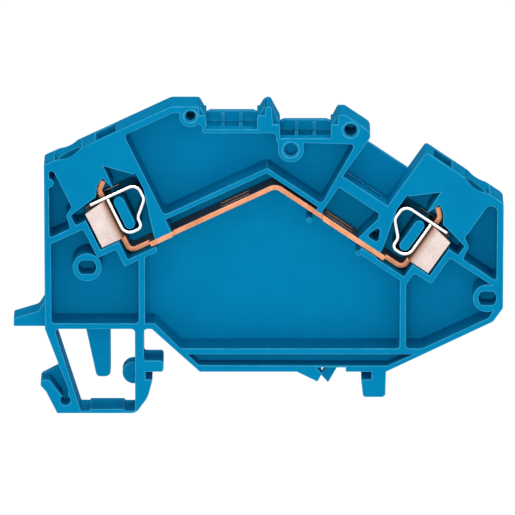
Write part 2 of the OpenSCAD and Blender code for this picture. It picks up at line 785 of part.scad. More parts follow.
// Marker slot: the plate that closes its back, with combs on it, and the pockets behind its ledge
plate_rise = marker_depth - 0.6;
plate_bevel = [0.6, 0.4];
comb_pitch = (marker_w + comb_t) / 3;
comb_out = 0.8;
comb_drop = 0.3;
plate_step = 0.4;
module marker_back_plate(x, z) {
    slab(floor_y - plate_step, back_y)
        polygon([
            [x - cut / 2, z],
            [x - cut / 2, z + plate_rise - plate_bevel.y],
            [x + plate_bevel.x, z + plate_rise],
            [x + marker_w - plate_bevel.x, z + plate_rise],
            [x + marker_w + cut / 2, z + plate_rise - plate_bevel.y],
            [x + marker_w + cut / 2, z],
        ]);
    for (i = [1, 2])
        translate([x + i * comb_pitch - comb_t, floor_y - comb_out, z - roof_t])
            cube([comb_t, comb_out + back_wall / 2, plate_rise + roof_t - comb_drop]);
}
module marker_pockets(x, z) {
    for (i = [0:2])
        translate([x + i * comb_pitch, front_y + marker_ledge, z - roof_t - cut])
            cube([comb_pitch - comb_t, floor_y - front_y - marker_ledge, roof_t + cut]);
}
// Ramps beside the marker slots, behind the steps of the front
ramp_inset = 0.9;
module marker_ramps() {
    step_drop = 0.6;
    slab(front_y + ramp_inset, back_y) {
        polygon([
            [left_marker_x - step_w, left_top_z],
            [left_marker_x, left_step_z - step_drop],
            [left_marker_x - step_w, left_step_z - step_drop],
        ]);
        polygon([
            [post_x, post_top_z],
            [post_x, left_step_z - step_drop],
            [left_marker_x + marker_w, left_step_z - step_drop],
        ]);
        polygon([
            [post_x + post_w - post_taper, post_top_z - 2 * post_taper],
            [right_marker_x, right_step_z],
            [post_x + post_w - post_taper, right_step_z],
        ]);
        polygon([
            [right_marker_x + marker_w + step_w, right_top_z],
            [right_marker_x + marker_w + step_w, right_step_z - step_drop],
            [right_marker_x + marker_w, right_step_z - step_drop],
        ]);
    }
}
// The plate that closes the back of the jumper slot
plate_u = -4.1;
module jumper_back_plate() {
    slab(floor_y, back_y)
        polygon([
            at(RIGHT, plate_u, jumper_v - cut),
            at(RIGHT, jumper_floor + cut, jumper_v - cut),
            at(RIGHT, jumper_floor + cut, jumper_left_v + cut),
            at(RIGHT, plate_u, jumper_left_v + cut),
        ]);
}
module jumper_windows() {
    window_w = 2.6;
    window_t = 1.6;
    window_inset = 1.1;
    window_y = metal_y - 0.2;
    for (v = [jumper_v + window_inset, jumper_left_v - window_inset - window_w])
        in_clamp(RIGHT)
            translate([jumper_floor - cut, window_y, v])
                cube([jumper_floor_t + 2 * cut, window_t, window_w]);
}

// Sockets
left_socket = [-10.53, 41.55];
right_socket = [14.27, 39.29];
middle_socket = [5.02, 36.14];
left_flat_socket = [-26.66, 17.15];
right_flat_socket = [35.65, 12.1];
flat_socket_wall = 0.85;
function boss_r(d) = d / 2 + socket_chamfer + socket_wall;
module socket_boss(centre, r) {
    pin(centre, r, front_y, floor_y + back_wall / 2);
}
// The middle socket's boss is short, and a thinner stem joins it to the back wall
stem_inset = 0.1;
module middle_socket_boss() {
    r = boss_r(middle_socket_d);
    pin(middle_socket, r, front_y, front_y + marker_ledge);
    slab(front_y, front_y + marker_ledge)
        translate([middle_socket.x - r, middle_socket.y])
            square([2 * r, right_marker_z - roof_t / 2 - middle_socket.y]);
    socket_boss(middle_socket, middle_socket_d / 2 - stem_inset);
}
module socket_hole(centre, d, depth) {
    pin(centre, d / 2, front_y - cut, front_y + depth);
}
module round_socket(centre, d, depth) {
    socket_hole(centre, d, depth);
    translate([centre.x, front_y + socket_chamfer, centre.y])
        rotate([90, 0, 0])
            cylinder(h = socket_chamfer, d1 = d, d2 = d + 2 * socket_chamfer, $fn = 48);
}
module flat_socket_hole(centre) {
    intersection() {
        socket_hole(centre, flat_socket_d, flat_socket_depth);
        translate([centre.x - flat_socket_d, front_y - 2 * cut, centre.y - flat_socket_af / 2])
            cube([2 * flat_socket_d, block_t, flat_socket_af]);
    }
}

// Small round features: a stop on the left wall, two pins under the bar, and a knob on the upright leg
wall_stop_r = 0.75;
wall_stop = [left_x + wall_stop_r, 30.75];
floor_pins = [[7.9, 24.4], [15.6, 19.1]];
floor_pin_r = 0.47;
floor_pin_h = 4.1;
knob_r = 1.8;
knob_w = 2.7;
notch_r = 0.8;
finger_notch = [left_x + 3.15, -4.55];
module leg_knob() {
    intersection() {
        pin([leg_in_x - 0.2, -rail_lip_t], knob_r, back_y - knob_w, back_y);
        translate([leg_in_x - 2 * knob_r, front_y, -rail_lip_t - 2 * knob_r])
            cube([2 * knob_r + leg_t / 2, block_t, 4 * knob_r]);
    }
}

module housing_shell() {
    difference() {
        union() {
            slab(front_y, back_y) body_outline();
            slab(front_y, back_y) latch_foot_outline();
            slab(front_y, back_y) fixed_foot_outline();
            slab(back_y - nose_w, back_y) nose_outline();
            slab(front_y, front_y + finger_w) finger_outline();
            slab(front_y + finger_w - finger_web_t, front_y + finger_w) finger_web_outline();
            marker_back_plate(left_marker_x, left_marker_z);
            marker_back_plate(right_marker_x, right_marker_z);
            marker_ramps();
            jumper_back_plate();
        }
        slab(front_y - cut, back_y + cut) foot_window_outline();
        slab(front_y - cut, back_y + cut) barb_notch_outline();
        slab(front_y - cut, floor_y) {
            for (side = [LEFT, RIGHT]) {
                side_cavity(side);
                clamp_pocket(side);
            }
            lower_left_cavity();
            lower_right_cavity();
            centre_cavity();
            upper_cavity();
            bar_gap();
            jumper_cavity();
            tower_lightening();
        }
        slab(front_y - cut, front_y + bottom_recess)
            polygon(rounded([
                [belly_left - 1.9, centre_base_z - rib],
                [belly_left - 0.2, bottom_z + 1.1, edge_r],
                [fixed_foot_x + 0.2, bottom_z + 1, edge_r],
                [fixed_foot_x + 4.2, centre_base_z - rib],
            ]));
        marker_pockets(left_marker_x, left_marker_z);
        marker_pockets(right_marker_x, right_marker_z);
        jumper_windows();
    }
}

module housing() {
    color(blue)
        difference() {
            union() {
                housing_shell();
                slab(front_y + tongue_inset, back_y) tongue_outline();
                slab(front_y, 0) front_barb_outline();
                slab(back_y - back_barb_w, back_y) back_barb_outline();
                intersection() {
                    slab(front_y, back_y) body_outline();
                    union() {
                        socket_boss(left_socket, boss_r(left_socket_d));
                        middle_socket_boss();
                        for (c = [left_flat_socket, right_flat_socket])
                            socket_boss(c, flat_socket_d / 2 + flat_socket_wall);
                    }
                }
                for (side = [LEFT, RIGHT]) spring_post(side);
                pin(wall_stop, wall_stop_r, front_y, floor_y + back_wall / 2);
                for (c = floor_pins) pin(c, floor_pin_r, floor_y - floor_pin_h, floor_y + back_wall / 2);
                leg_knob();
            }
            pin(finger_notch, notch_r, front_y - cut, front_y + finger_w - finger_web_t);
            round_socket(left_socket, left_socket_d, socket_depth);
            round_socket(right_socket, right_socket_d, socket_depth);
            round_socket(middle_socket, middle_socket_d, middle_socket_depth);
            for (c = [left_flat_socket, right_flat_socket]) flat_socket_hole(c);
            for (side = [LEFT, RIGHT]) {
                wire_entry(side);
                driver_slot(side);
            }
            slab(front_y - cut, floor_y)
                polygon(strip(bar_path, bar_t + 2 * fit));
        }
}

// Upright arm of the bar with its two wings, folded from one sheet into a channel
module wing_channel(side) {
    fold = rounded_path([
        [metal_front_y + bar_t / 2, -wing_reach],
        [metal_front_y + bar_t / 2, arm_v, fold_r],
        [metal_back_y - bar_t / 2, arm_v, fold_r],
        [metal_back_y - bar_t / 2, -wing_reach],
    ]);
    in_clamp(side)
        difference() {
            translate([wing_top_u, 0, 0])
                rotate([90, 0, 90])
                    linear_extrude(wing_len)
                        polygon(strip(fold, bar_t));
            slab(front_y, back_y)
                polygon([
                    [wing_top_u, arm_v],
                    [wing_top_u + wing_slant, -wing_reach],
                    [wing_top_u + wing_slant, -wing_reach - cut],
                    [wing_top_u - cut, -wing_reach - cut],
                    [wing_top_u - cut, arm_v],
                ]);
        }
}
// What is cut from the strip: beside the hook, at the neck under the wings, and the contact slots
module bar_end_cuts(side) {
    tongue_in = window_rail + tongue_gap;
    neck_u = wing_top_u + wing_len;
    hook_v = arm_v - bar_t;
    in_clamp(side) {
        for (y = [metal_front_y - cut, metal_back_y - tongue_in])
            translate([hook_u - 2 * hook_reach_u, y, hook_v])
                cube([wing_top_u - hook_u + 2 * hook_reach_u, tongue_in + cut, 2 * bar_t + hook_reach_v]);
        translate([neck_u, metal_front_y - cut, hook_v])
            cube([bar_u(side) + bar_t - neck_u, neck_inset + cut, neck_end - hook_v]);
        for (i = [-1, 1])
            translate([bar_u(side) - bar_t, metal_y + i * contact_pitch / 2 - contact_w / 2, contact_v(side)])
                translate([0, 0, -contact_len / 2])
                    cube([2 * bar_t, contact_w, contact_len]);
    }
}
module current_bar() {
    step_left = at(LEFT, bar_u(LEFT), step_end(LEFT)).x;
    step_right = at(RIGHT, bar_u(RIGHT), step_end(RIGHT)).x;
    color(copper) {
        difference() {
            slab(metal_front_y, metal_back_y) polygon(strip(bar_path, bar_t));
            for (side = [LEFT, RIGHT]) {
                bar_end_cuts(side);
                in_clamp(side)
                    translate([wing_top_u, front_y, arm_v - bar_t])
                        cube([wing_len, block_t, 2 * bar_t]);
            }
            translate([step_left, metal_front_y - cut, 0])
                cube([step_right - step_left, step_inset + cut, left_top_z]);
        }
        for (side = [LEFT, RIGHT]) wing_channel(side);
    }
}

// Clamp spring: a looped strip whose upper arm has a window for the bar's hook and the wire
module clamp_spring(side) {
    window_end = arm_v + bar_t / 2 + spring_travel + 0.25;
    frame_end = 0.5;
    color(steel)
        in_clamp(side)
            difference() {
                slab(metal_front_y, metal_back_y) polygon(strip(spring_path, strip_t));
                translate([-strip_t, metal_front_y + window_rail, -arm_reach + frame_end])
                    cube([
                        strip_t + fixed_arm_top - 0.02,
                        metal_back_y - metal_front_y - 2 * window_rail,
                        arm_reach - frame_end + window_end,
                    ]);
            }
}
module left_clamp_spring() {
    clamp_spring(LEFT);
}
module right_clamp_spring() {
    clamp_spring(RIGHT);
}

housing();
current_bar();
left_clamp_spring();
right_clamp_spring();
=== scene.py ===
# %% [markdown]
# # A feed-through terminal block, dressed for a studio picture
# The block is a thin blue moulding, open on one side, that clips onto a mounting rail. Inside it lie
# a bent copper bar and two looped clamp springs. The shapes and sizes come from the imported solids,
# and this lesson gives them what a solid model lacks: edge radii, finishes, light and a camera.
# Everything is in metres, in the solids' own frame: +X along the block, +Y to its closed back, +Z up.

# %% Load the solids
import json
import math

import bmesh
import bpy
import numpy as np
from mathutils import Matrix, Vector
from mathutils.bvhtree import BVHTree
from mathutils.geometry import delaunay_2d_cdt
from mathutils.kdtree import KDTree


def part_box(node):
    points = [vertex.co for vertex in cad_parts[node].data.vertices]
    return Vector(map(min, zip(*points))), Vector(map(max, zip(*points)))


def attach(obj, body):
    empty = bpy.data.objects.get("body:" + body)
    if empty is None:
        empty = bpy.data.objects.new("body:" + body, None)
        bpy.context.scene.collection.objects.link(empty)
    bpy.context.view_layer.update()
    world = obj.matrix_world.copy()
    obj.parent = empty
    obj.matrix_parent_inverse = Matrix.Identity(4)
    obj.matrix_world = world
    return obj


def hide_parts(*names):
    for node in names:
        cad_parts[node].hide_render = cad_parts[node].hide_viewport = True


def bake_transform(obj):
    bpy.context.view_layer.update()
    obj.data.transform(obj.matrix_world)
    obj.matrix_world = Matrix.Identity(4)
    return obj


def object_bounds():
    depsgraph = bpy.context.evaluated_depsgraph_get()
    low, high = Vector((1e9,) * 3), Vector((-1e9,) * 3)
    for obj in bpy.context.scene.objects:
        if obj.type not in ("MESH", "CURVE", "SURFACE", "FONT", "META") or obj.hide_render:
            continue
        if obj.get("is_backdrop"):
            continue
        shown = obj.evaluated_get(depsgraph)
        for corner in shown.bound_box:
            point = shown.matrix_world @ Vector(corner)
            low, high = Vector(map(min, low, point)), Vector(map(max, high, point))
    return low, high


MM = 0.001
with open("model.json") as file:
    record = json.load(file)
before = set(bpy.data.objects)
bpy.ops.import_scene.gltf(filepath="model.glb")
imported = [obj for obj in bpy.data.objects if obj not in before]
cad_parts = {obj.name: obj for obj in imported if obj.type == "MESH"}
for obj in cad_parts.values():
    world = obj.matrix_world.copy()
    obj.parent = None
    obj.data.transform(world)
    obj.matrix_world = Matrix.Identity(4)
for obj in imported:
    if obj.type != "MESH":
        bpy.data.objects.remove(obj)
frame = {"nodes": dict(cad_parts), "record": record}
record = frame["record"]
scene = bpy.context.scene
cad_low, cad_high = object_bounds()

# %% [markdown]
# ## The camera
# The picture looks straight at the open side from a little above, through a long lens, so that all
# upright edges stay parallel and the walls show their upper faces. A plain perspective camera, far
# away and with a narrow view, gives that look without any lens shift.

# %% Camera
AIM = Vector((-0.15, -3.0, 18.76)) * MM
ELEVATION = math.radians(16.5)
DISTANCE = 1.5
VIEW_WIDTH = 80.1 * MM

camera_data = bpy.data.cameras.new("long_lens")
camera_data.lens = camera_data.sensor_width * DISTANCE / VIEW_WIDTH
camera_data.clip_end = 10 * DISTANCE
camera = bpy.data.objects.new("camera", camera_data)
scene.collection.objects.link(camera)
towards_camera = Vector((0, -math.cos(ELEVATION), math.sin(ELEVATION)))
camera.location = AIM + DISTANCE * towards_camera
camera.rotation_euler = towards_camera.to_track_quat("Z", "Y").to_euler()
scene.camera = camera
print("camera: lens", round(camera_data.lens), "mm at", DISTANCE, "m")

# %% [markdown]
# ## Floor and light
# The object stands on a light table: a floor that glows white and so takes no shadow. Most of the
# light is a soft sky ahead of the open side, so that the floors of the pockets are nearly as bright
# as the front faces while narrow gaps stay dark. A small lamp in front reaches the floors of the pockets,
# and a large one high behind the block lights its top. The Standard view keeps colours as mixed.

# %% Floor and light
FLOOR_SIZE = 6.0
BLACK = (0, 0, 0, 1)
WHITE = (1, 1, 1, 1)
FLOOR_GLOW = 1.02
SKY_AHEAD = 0.85
SKY_AROUND = 0.10
SKY_BEHIND = 0.35
# The sky's brightness by its direction along Y: (start, end, brightness at start, brightness at end)
SKY_FADES = ((0.1, -0.3, 0, SKY_AHEAD), (-0.2, 0.5, SKY_AROUND, SKY_BEHIND))
FRONT_LAMP = {"place": (-0.05, -1.05, 0.10), "size": 0.3, "watts": 3.8}
BACK_LAMP = {"place": (0.10, 0.30, 0.90), "size": 0.7, "watts": 6}

floor_mesh = bpy.data.meshes.new("studio_floor")
floor_ends = np.array([(-1, -1), (1, -1), (1, 1), (-1, 1)]) * FLOOR_SIZE / 2
floor_mesh.from_pydata([(x, y, cad_low[2]) for x, y in floor_ends], [], [(0, 1, 2, 3)])
floor = bpy.data.objects.new("studio_floor", floor_mesh)
scene.collection.objects.link(floor)
floor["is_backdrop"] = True

floor_finish = bpy.data.materials.new("glowing_floor")
floor_finish.use_nodes = True
floor_shader = floor_finish.node_tree.nodes["Principled BSDF"]
floor_shader.inputs["Base Color"].default_value = BLACK
floor_shader.inputs["Specular IOR Level"].default_value = 0
floor_shader.inputs["Emission Color"].default_value = WHITE
floor_shader.inputs["Emission Strength"].default_value = FLOOR_GLOW
floor_mesh.materials.append(floor_finish)

world = bpy.data.worlds.new("white_studio")
world.use_nodes = True
sky = world.node_tree
direction = sky.nodes.new("ShaderNodeTexCoord")
split = sky.nodes.new("ShaderNodeSeparateXYZ")
total = sky.nodes.new("ShaderNodeMath")
sky.links.new(direction.outputs["Generated"], split.inputs["Vector"])
for term, (start, end, low, high) in enumerate(SKY_FADES):
    fade = sky.nodes.new("ShaderNodeMapRange")
    fade.interpolation_type = "SMOOTHSTEP"
    for socket, value in (("From Min", start), ("From Max", end), ("To Min", low), ("To Max", high)):
        fade.inputs[socket].default_value = value
    sky.links.new(split.outputs["Y"], fade.inputs["Value"])
    sky.links.new(fade.outputs["Result"], total.inputs[term])
sky.links.new(total.outputs["Value"], sky.nodes["Background"].inputs["Strength"])
sky.nodes["Background"].inputs["Color"].default_value = WHITE
scene.world = world
scene.view_settings.view_transform = "Standard"


def soft_lamp(name, place, size, watts):
    """A square lamp of that size in metres, aimed at the block's middle and not seen by the camera."""
    lamp_data = bpy.data.lights.new(name, "AREA")
    lamp_data.size = size
    lamp_data.energy = watts
    lamp = bpy.data.objects.new(name, lamp_data)
    lamp.location = place
    lamp.rotation_euler = (Vector(place) - AIM).to_track_quat("Z", "Y").to_euler()
    lamp.visible_camera = False
    scene.collection.objects.link(lamp)
    return lamp


front_lamp = soft_lamp("front_lamp", **FRONT_LAMP)
back_lamp = soft_lamp("back_lamp", **BACK_LAMP)
print("lamps:", front_lamp.name, back_lamp.name)

# %% [markdown]
# ## Effects that several finishes share
# Moulded plastic, rolled copper and spring steel all have a fine grain, stray specks and edges painted
# paler than the faces, partly as wear and partly as a painted highlight. Each effect is one node group
# with its own inputs, so a finish only sets how coarse and how strong it is. Grain is a fine noise for
# the bump and a slow noise for the tone; specks are a few cells of a Voronoi pattern; the painted edge
# wear and highlight follow an attribute of the mesh.

# %% Node helpers
def add_node(tree, kind, **settings):
    """A new node of that kind; settings are its own properties."""
    node = tree.nodes.new(kind)
    for name, value in settings.items():
        setattr(node, name, value)
    return node


def effect_group(name, inputs, outputs):
    """An empty shader group with float sockets, a Vector input first; returns (tree, entry, exit)."""
    tree = bpy.data.node_groups.new(name, "ShaderNodeTree")
    tree.interface.new_socket("Vector", in_out="INPUT", socket_type="NodeSocketVector")
    for socket, value in inputs.items():
        tree.interface.new_socket(socket, in_out="INPUT", socket_type="NodeSocketFloat").default_value = value
    for socket in outputs:
        tree.interface.new_socket(socket, in_out="OUTPUT", socket_type="NodeSocketFloat")
    return tree, tree.nodes.new("NodeGroupInput"), tree.nodes.new("NodeGroupOutput")


def feed(tree, socket, value):
    """Gives an input socket a number, an RGB colour or a link from another node's output."""
    if isinstance(value, bpy.types.NodeSocket):
        tree.links.new(value, socket)
    elif isinstance(value, tuple):
        socket.default_value = (*value, 1)
    else:
        socket.default_value = value


def math_node(tree, operation, first, second):
    """The result of a Math node on two values."""
    node = add_node(tree, "ShaderNodeMath", operation=operation)
    feed(tree, node.inputs[0], first)
    feed(tree, node.inputs[1], second)
    return node.outputs["Value"]


def ranged(tree, value, low, high, start=0.0, end=1.0):
    """A value that runs from low to high while the input runs from start to end."""
    node = add_node(tree, "ShaderNodeMapRange")
    numbers = {"Value": value, "From Min": start, "From Max": end, "To Min": low, "To Max": high}
    for socket, number in numbers.items():
        feed(tree, node.inputs[socket], number)
    return node.outputs["Result"]


# %% Grain
GRAIN_INPUTS = {"Scale": 20000, "Tone Scale": 300}
# Each output with the input that scales its noise, and the noise's detail
GRAIN_NOISES = (("Height", "Scale", 3), ("Tone", "Tone Scale", 4))

grain_group, entry, leave = effect_group("fine_grain", GRAIN_INPUTS, ["Height", "Tone"])
for socket, scale, detail in GRAIN_NOISES:
    noise = add_node(grain_group, "ShaderNodeTexNoise")
    noise.inputs["Detail"].default_value = detail
    grain_group.links.new(entry.outputs["Vector"], noise.inputs["Vector"])
    grain_group.links.new(entry.outputs[scale], noise.inputs["Scale"])
    grain_group.links.new(noise.outputs["Fac"], leave.inputs[socket])
print("group:", grain_group.name)

# %% Specks
SPECK_INPUTS = {"Scale": 900, "Share": 0.1, "Size": 0.2}

speck_group, entry, leave = effect_group("stray_specks", SPECK_INPUTS, ["Mask"])
cells = add_node(speck_group, "ShaderNodeTexVoronoi")
speck_group.links.new(entry.outputs["Vector"], cells.inputs["Vector"])
speck_group.links.new(entry.outputs["Scale"], cells.inputs["Scale"])
chance = add_node(speck_group, "ShaderNodeSeparateColor")
speck_group.links.new(cells.outputs["Color"], chance.inputs["Color"])
chosen = math_node(speck_group, "LESS_THAN", chance.outputs["Red"], entry.outputs["Share"])
radius = math_node(speck_group, "MULTIPLY", chance.outputs["Green"], entry.outputs["Size"])
inside = math_node(speck_group, "LESS_THAN", cells.outputs["Distance"], radius)
speck_group.links.new(math_node(speck_group, "MULTIPLY", chosen, inside), leave.inputs["Mask"])
print("group:", speck_group.name)

# %% Edge wear and painted highlight
# Edges painted paler in patches: partly wear, partly a painted highlight where a rounded edge catches light
EDGE_WEAR_AND_HIGHLIGHT_INPUTS = {"Scale": 500, "Edge": 0, "Strength": 0.5}
EDGE_WEAR_AND_HIGHLIGHT_LEAST = 0.35
EDGE_WEAR_AND_HIGHLIGHT_SPREAD = (0.25, 0.65)

edge_wear_and_highlight_group, entry, leave = effect_group("edge_wear_and_painted_highlight", EDGE_WEAR_AND_HIGHLIGHT_INPUTS, ["Mask"])
patches = add_node(edge_wear_and_highlight_group, "ShaderNodeTexNoise")
edge_wear_and_highlight_group.links.new(entry.outputs["Vector"], patches.inputs["Vector"])
edge_wear_and_highlight_group.links.new(entry.outputs["Scale"], patches.inputs["Scale"])
wear_and_highlight_depth = ranged(edge_wear_and_highlight_group, patches.outputs["Fac"], EDGE_WEAR_AND_HIGHLIGHT_LEAST, 1, *EDGE_WEAR_AND_HIGHLIGHT_SPREAD)
on_edge = math_node(edge_wear_and_highlight_group, "MULTIPLY", wear_and_highlight_depth, entry.outputs["Edge"])
wear_and_highlight_mask = math_node(edge_wear_and_highlight_group, "MULTIPLY", on_edge, entry.outputs["Strength"])
edge_wear_and_highlight_group.links.new(wear_and_highlight_mask, leave.inputs["Mask"])
print("group:", edge_wear_and_highlight_group.name)


# %% Finish helpers
# Where the values of a noise lie: nearly all of them, and most of them
NOISE_SPREAD = (0.3, 0.7)
NOISE_CORE = (0.35, 0.65)
# A Mix node's colour sockets by number, since its sockets for other types have the same names
MIX_LOW = 6
MIX_HIGH = 7
MIX_RESULT = 2


def new_finish(name):
    """A material with its node tree, shader and Object coordinates: (material, tree, shader, coordinates)."""
    finish = bpy.data.materials.new(name)
    finish.use_nodes = True
    tree = finish.node_tree
    place = add_node(tree, "ShaderNodeTexCoord")
    return finish, tree, tree.nodes["Principled BSDF"], place.outputs["Object"]


def stretched(tree, vector, scale):
    """The coordinates multiplied by a scale per axis, so that a pattern is drawn out where it is small."""
    mapping = add_node(tree, "ShaderNodeMapping")
    mapping.inputs["Scale"].default_value = scale
    tree.links.new(vector, mapping.inputs["Vector"])
    return mapping.outputs["Vector"]


def effect(tree, group, vector, **values):
    """Places a shared effect in a finish; each value is a number or a socket."""
    node = add_node(tree, "ShaderNodeGroup", node_tree=group)
    tree.links.new(vector, node.inputs["Vector"])
    for name, value in values.items():
        feed(tree, node.inputs[name.replace("_", " ")], value)
    return node.outputs


def mixed(tree, mask, low, high):
    """A colour that goes from low to high with the mask; each colour is RGB or a socket."""
    node = add_node(tree, "ShaderNodeMix", data_type="RGBA")
    feed(tree, node.inputs["Factor"], mask)
    feed(tree, node.inputs[MIX_LOW], low)
    feed(tree, node.inputs[MIX_HIGH], high)
    return node.outputs[MIX_RESULT]


def mesh_value(tree, name):
    """A value per face or point that the mesh carries as an attribute."""
    return add_node(tree, "ShaderNodeAttribute", attribute_name=name).outputs["Fac"]


def bumped(tree, shader, height, strength, depth):
    """Bends the shader's normal by a height of that depth in metres."""
    bump = add_node(tree, "ShaderNodeBump")
    bump.inputs["Strength"].default_value = strength
    bump.inputs["Distance"].default_value = depth
    tree.links.new(height, bump.inputs["Height"])
    tree.links.new(bump.outputs["Normal"], shader.inputs["Normal"])


# %% [markdown]
# ## Blue moulding
# The housing is moulded from blue polyamide: a matt satin face with a very fine texture from the
# tool, a slow change of tone, edges painted as pale lines, partly as wear and partly as a painted
# highlight, and a few dark and pale specks of dust. The colour is mixed from those masks, and the same
# grain drives roughness and bump, so that the shine breaks up as it does on a real moulding.

# %% Blue moulding
BLUE_FACE = (0.0006, 0.183, 0.372)
BLUE_PALE = (0.0010, 0.197, 0.394)
# Pale blue for the edge strips: partly wear, partly a painted highlight
BLUE_EDGE_WEAR_AND_HIGHLIGHT = (0.070, 0.430, 0.660)
BLUE_DARK_SPECK = (0.001, 0.030, 0.075)
BLUE_PALE_SPECK = (0.010, 0.250, 0.450)
BLUE_SHINE = 0.003
BLUE_ROUGHNESS = (0.50, 0.64)
BLUE_BUMP = 0.25
BLUE_BUMP_DEPTH = 0.012 * MM
EDGE_ATTRIBUTE = "edge_round"

blue_moulding, tree, shader, place = new_finish("blue_moulding")
grain = effect(tree, grain_group, place, Scale=16000, Tone_Scale=260)
# Edge strips painted pale blue, as wear and as a painted highlight
edge_wear_and_highlight = effect(tree, edge_wear_and_highlight_group, place, Scale=700, Edge=mesh_value(tree, EDGE_ATTRIBUTE), Strength=0.55)
dark_specks = effect(tree, speck_group, place, Scale=620, Share=0.05, Size=0.11)
pale_specks = effect(tree, speck_group, place, Scale=810, Share=0.03, Size=0.09)
colour = mixed(tree, ranged(tree, grain["Tone"], 0, 1, *NOISE_SPREAD), BLUE_FACE, BLUE_PALE)
colour = mixed(tree, pale_specks["Mask"], colour, BLUE_PALE_SPECK)
colour = mixed(tree, dark_specks["Mask"], colour, BLUE_DARK_SPECK)
colour = mixed(tree, edge_wear_and_highlight["Mask"], colour, BLUE_EDGE_WEAR_AND_HIGHLIGHT)
tree.links.new(colour, shader.inputs["Base Color"])
roughness = ranged(tree, grain["Height"], *BLUE_ROUGHNESS, *NOISE_SPREAD)
tree.links.new(roughness, shader.inputs["Roughness"])
shader.inputs["Specular IOR Level"].default_value = BLUE_SHINE
bumped(tree, shader, grain["Height"], BLUE_BUMP, BLUE_BUMP_DEPTH)
print("finish:", blue_moulding.name)

# %% [markdown]
# ## Tinned copper
# The bar is stamped from copper strip. Its rolled faces are tinned to a pale, pinkish silver with
# fine lines along the strip, and its cut edges show bare matt copper. Attributes of the mesh say which
# faces were cut, which lie on the front of a wing, and how far a point is from the wing's fold. Tin
# that is not on the front of a wing is painted in shade, and towards the fold the tin turns brown, as
# bare copper and as painted shade of the bend. The strip always runs in the XZ plane, so lines along it
# are a noise that changes quickly with Y and hardly with X and Z.

# %% Tinned copper
TIN_FACE = (0.58, 0.47, 0.43)
TIN_PALE = (0.72, 0.63, 0.61)
TIN_PIT = (0.36, 0.25, 0.21)
# Tin painted in shade, for every tin face but the front faces of the wings
TIN_IN_PAINTED_SHADE = (0.20, 0.16, 0.16)
COPPER_CUT = (0.75, 0.34, 0.18)
COPPER_DULL = (0.62, 0.25, 0.13)
# Copper edges painted paler: partly wear, partly a painted highlight
COPPER_EDGE_WEAR_AND_HIGHLIGHT = (0.90, 0.56, 0.40)
# Brown towards the wing's fold: bare copper and painted shade of the bend
COPPER_AND_SHADE_AT_FOLD = (0.38, 0.19, 0.125)
COPPER_METAL = 0.85
COPPER_ROUGHNESS = (0.50, 0.66)
COPPER_BUMP = 0.25
COPPER_BUMP_DEPTH = 0.010 * MM
ALONG_BAR = (0.03, 1, 0.03)
PIT_STRENGTH = 0.5
# Distances from the fold, in mm, over which the brown of bare copper and painted bend shade gives way to tin
FOLD_SPREAD = (0.55, 1.7)
CUT_ATTRIBUTE = "cut_edge"
WING_ATTRIBUTE = "wing_face"
FOLD_ATTRIBUTE = "fold_distance"

tinned_copper, tree, shader, place = new_finish("tinned_copper")
grain = effect(tree, grain_group, place, Scale=9000, Tone_Scale=700)
lines = effect(tree, grain_group, stretched(tree, place, ALONG_BAR), Scale=16000, Tone_Scale=4000)
pits = effect(tree, speck_group, place, Scale=3200, Share=0.30, Size=0.30)
# Edge wear and painted highlight, which paint the copper edges paler below
edge_wear_and_highlight = effect(tree, edge_wear_and_highlight_group, place, Scale=1500, Edge=mesh_value(tree, EDGE_ATTRIBUTE), Strength=0.8)
tin = mixed(tree, ranged(tree, grain["Height"], 0, 1, *NOISE_CORE), TIN_FACE, TIN_PALE)
tin = mixed(tree, ranged(tree, pits["Mask"], 0, PIT_STRENGTH), tin, TIN_PIT)
# Towards the fold the tin turns brown: bare copper and painted shade of the bend
near_fold = ranged(tree, mesh_value(tree, FOLD_ATTRIBUTE), 1, 0, *FOLD_SPREAD)
tin = mixed(tree, near_fold, tin, COPPER_AND_SHADE_AT_FOLD)
# Tin off the front faces of the wings is painted in shade
tin = mixed(tree, mesh_value(tree, WING_ATTRIBUTE), TIN_IN_PAINTED_SHADE, tin)
copper = mixed(tree, ranged(tree, grain["Tone"], 0, 1, *NOISE_CORE), COPPER_DULL, COPPER_CUT)
copper = mixed(tree, edge_wear_and_highlight["Mask"], copper, COPPER_EDGE_WEAR_AND_HIGHLIGHT)
tree.links.new(mixed(tree, mesh_value(tree, CUT_ATTRIBUTE), tin, copper), shader.inputs["Base Color"])
roughness = ranged(tree, lines["Height"], *COPPER_ROUGHNESS, *NOISE_SPREAD)
tree.links.new(roughness, shader.inputs["Roughness"])
shader.inputs["Metallic"].default_value = COPPER_METAL
bumped(tree, shader, lines["Height"], COPPER_BUMP, COPPER_BUMP_DEPTH)
print("finish:", tinned_copper.name)

# %% [markdown]
# ## Spring steel
# The clamp springs are bent from hard steel strip. Its broad faces are smooth and painted dark, as
# painted shade and a painted reflection of the dark pockets they face, with faint lines along the strip
# from rolling, drawn as on the copper, and its blanked edges are almost white. Its edges are painted
# paler, partly as wear and partly as a painted highlight. The far rail beside the window lies deep in
# its pocket, so an attribute paints shade on its edge.

# %% Spring steel
# Broad faces painted dark: painted shade and a painted reflection of the dark pockets
STEEL_FACE_IN_PAINTED_SHADE = (0.06, 0.06, 0.06)
STEEL_PALE_IN_PAINTED_SHADE = (0.11, 0.11, 0.11)
STEEL_CUT = (0.86, 0.86, 0.85)
# Steel edges painted paler: partly wear, partly a painted highlight
STEEL_EDGE_WEAR_AND_HIGHLIGHT = (0.95, 0.95, 0.94)
# Painted shade for the far rail's edge, deep in its pocket
STEEL_PAINTED_SHADE = (0.07, 0.07, 0.07)
STEEL_ROUGHNESS = (0.18, 0.36)
STEEL_BUMP = 0.2
STEEL_BUMP_DEPTH = 0.006 * MM
ALONG_SPRING = (0.02, 1, 0.02)
